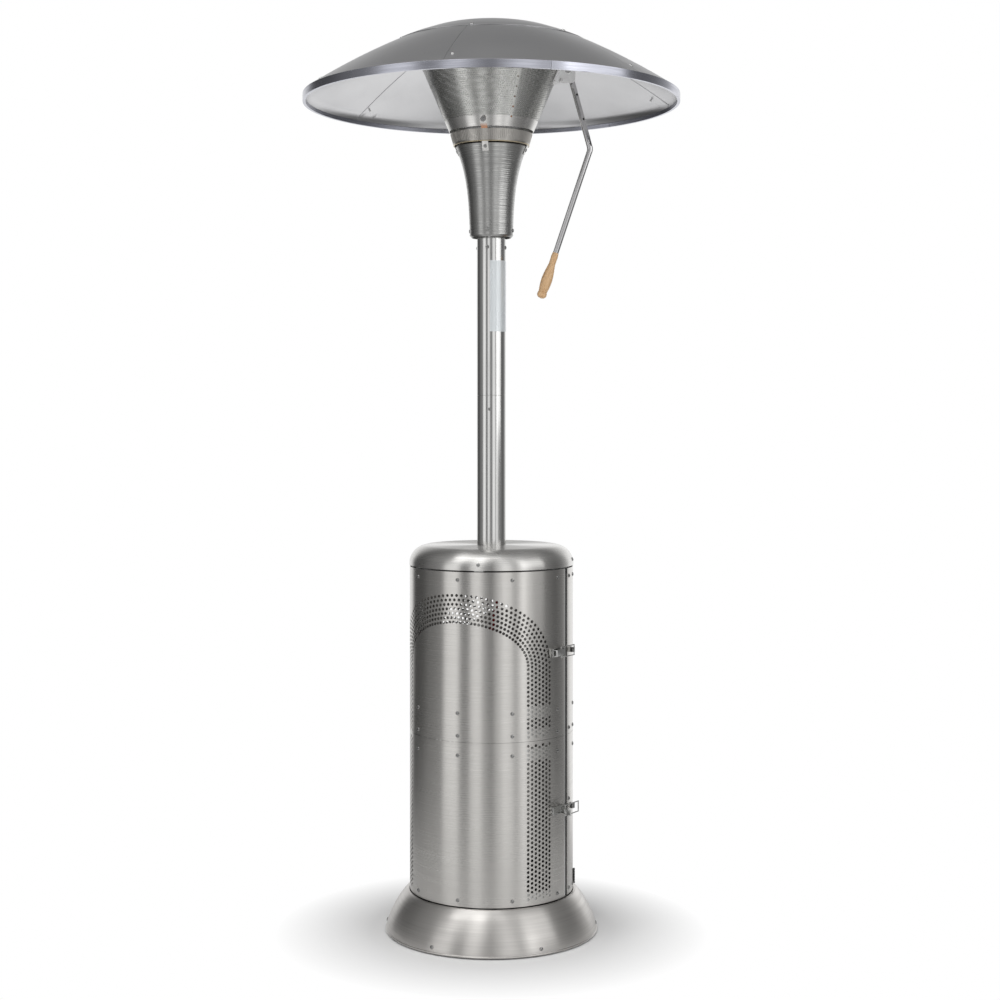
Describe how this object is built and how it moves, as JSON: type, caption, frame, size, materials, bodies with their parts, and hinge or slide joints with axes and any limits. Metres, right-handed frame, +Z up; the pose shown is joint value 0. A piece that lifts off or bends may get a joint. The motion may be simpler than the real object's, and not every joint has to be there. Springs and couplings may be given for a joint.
{
  "type": "gas patio heater",
  "caption": "Free-standing gas patio heater: domed foot, round steel bottle housing with hinged rear door, slim post, flared burner casing and tilting emitter under a wide panelled reflector.",
  "frame": {"origin": "on the floor at the middle of the foot, on the post's axis", "axes": "+Z up along the post; -Y towards the front as pictured; +X to the right"},
  "size_m": [0.9046, 0.9046, 2.1804],
  "materials": {
    "brushed_steel_sheet": "fine brushing, satin",
    "foot_steel": "spun, fine circular brushing",
    "post_steel": "polished tube with faint lengthwise brushing",
    "frame_steel": "bright rolled",
    "dark_steel": "satin black powder coat",
    "iron": "rough cast, painted",
    "fastener_steel": "bright plated",
    "casing_steel": "spun, circular grooves, satin",
    "heat_tinted_steel": "straw and copper heat tint",
    "reflector_aluminium": "satin rolled",
    "rim_aluminium": "bright",
    "emitter_steel": "finely perforated, satin",
    "lever_steel": "satin tube",
    "brass": "plain",
    "zinc": "die cast",
    "label": "clear bluish film, bare",
    "rubber_black": "matt",
    "hose_rubber": "matt red",
    "black_plastic": "matt",
    "red_plastic": "gloss",
    "beech": "lacquered"
  },
  "bodies": {
    "stand": {"rubber_pads": "rubber_black", "ground_plate": "dark_steel", "ballast_ring": "iron", "foot_skirt": "foot_steel", "seating_ring": "frame_steel", "frame_posts": "frame_steel", "front_hoops": "frame_steel", "front_upper_panel": "brushed_steel_sheet", "front_lower_panel": "brushed_steel_sheet", "housing_screws": "fastener_steel", "top_plate": "dark_steel", "housing_cap": "brushed_steel_sheet", "post_socket": "dark_steel", "post_lower": "post_steel", "post_sleeve": "post_steel", "post_upper": "post_steel", "post_screws": "fastener_steel", "label_film": "label", "gas_pipe": "brass", "gas_hose": "hose_rubber", "regulator": "zinc", "burner_casing": "casing_steel", "casing_screws": "fastener_steel", "burner_support": "casing_steel", "gas_valve": "brass", "venturi": "casing_steel", "burner_head": "casing_steel", "pilot_assembly": "fastener_steel", "air_collar": "casing_steel", "head_straps": "heat_tinted_steel", "pivot_bolts": "fastener_steel", "control_bezel": "black_plastic", "hinge_frame_leaves": "fastener_steel", "latch_bases": "fastener_steel"},
    "head": {"emitter_cone": "emitter_steel", "emitter_lid": "emitter_steel", "pivot_plates": "emitter_steel", "head_rivets": "heat_tinted_steel", "reflector_panels": "reflector_aluminium", "reflector_rim": "rim_aluminium", "reflector_disc": "reflector_aluminium", "head_bolts": "fastener_steel", "reflector_pillars": "reflector_aluminium", "lever_bracket": "lever_steel", "lever_rod": "lever_steel", "lever_grip": "beech"},
    "rear_door": {"door_upper_panel": "brushed_steel_sheet", "door_lower_panel": "brushed_steel_sheet", "door_frame": "frame_steel", "door_screws": "fastener_steel", "hinge_door_leaves": "fastener_steel", "latch_keepers": "fastener_steel", "door_buffer": "rubber_black"},
    "upper_latch_lever": {"upper_latch_lever": "fastener_steel"},
    "upper_latch_loop": {"upper_latch_loop": "fastener_steel"},
    "lower_latch_lever": {"lower_latch_lever": "fastener_steel"},
    "lower_latch_loop": {"lower_latch_loop": "fastener_steel"},
    "control_knob": {"control_knob": "black_plastic"},
    "igniter_button": {"igniter_button": "red_plastic"},
    "regulator_tap": {"regulator_tap": "red_plastic"}
  },
  "joints": [
    {"name": "head_tilt", "type": "hinge", "parent": "stand", "child": "head", "pos_m": [0, 0, 1.9365], "axis": [-0.1736, -0.9848, 0], "range_deg": [0, 14]},
    {"name": "door_hinge", "type": "hinge", "parent": "stand", "child": "rear_door", "pos_m": [-0.19014, 0.07109, 0.48], "axis": [0, 0, 1], "range_deg": [0, 110]},
    {"name": "upper_lever_pin", "type": "hinge", "parent": "stand", "child": "upper_latch_lever", "pos_m": [0.16997, -0.11613, 0.686], "axis": [0, 0, 1], "range_deg": [0, 100]},
    {"name": "upper_loop_pin", "type": "hinge", "parent": "upper_latch_lever", "child": "upper_latch_loop", "pos_m": [0.16379, -0.12641, 0.686], "axis": [0, 0, -1], "range_deg": [0, 100]},
    {"name": "lower_lever_pin", "type": "hinge", "parent": "stand", "child": "lower_latch_lever", "pos_m": [0.16997, -0.11613, 0.314], "axis": [0, 0, 1], "range_deg": [-50, 50]},
    {"name": "lower_loop_pin", "type": "hinge", "parent": "lower_latch_lever", "child": "lower_latch_loop", "pos_m": [0.17387, -0.12747, 0.314], "axis": [0, 0, -1], "range_deg": [-50, 50]},
    {"name": "knob_turn", "type": "hinge", "parent": "stand", "child": "control_knob", "pos_m": [0, 0.07, 1.79], "axis": [0, 1, 0], "range_deg": [0, 180]},
    {"name": "igniter_press", "type": "slide", "parent": "stand", "child": "igniter_button", "axis": [0, -1, 0], "range_m": [0, 0.005], "stiffness_N_per_m": 400, "springref_m": -0.004},
    {"name": "tap_turn", "type": "hinge", "parent": "stand", "child": "regulator_tap", "pos_m": [-0.13444, 0.03906, 0.7], "axis": [0, 0, 1], "range_deg": [0, 90]}
  ],
  "couplings": [
    {"joint": "upper_loop_pin", "follows": "upper_lever_pin", "ratio": 1},
    {"joint": "lower_loop_pin", "follows": "lower_lever_pin", "ratio": 1}
  ]
}
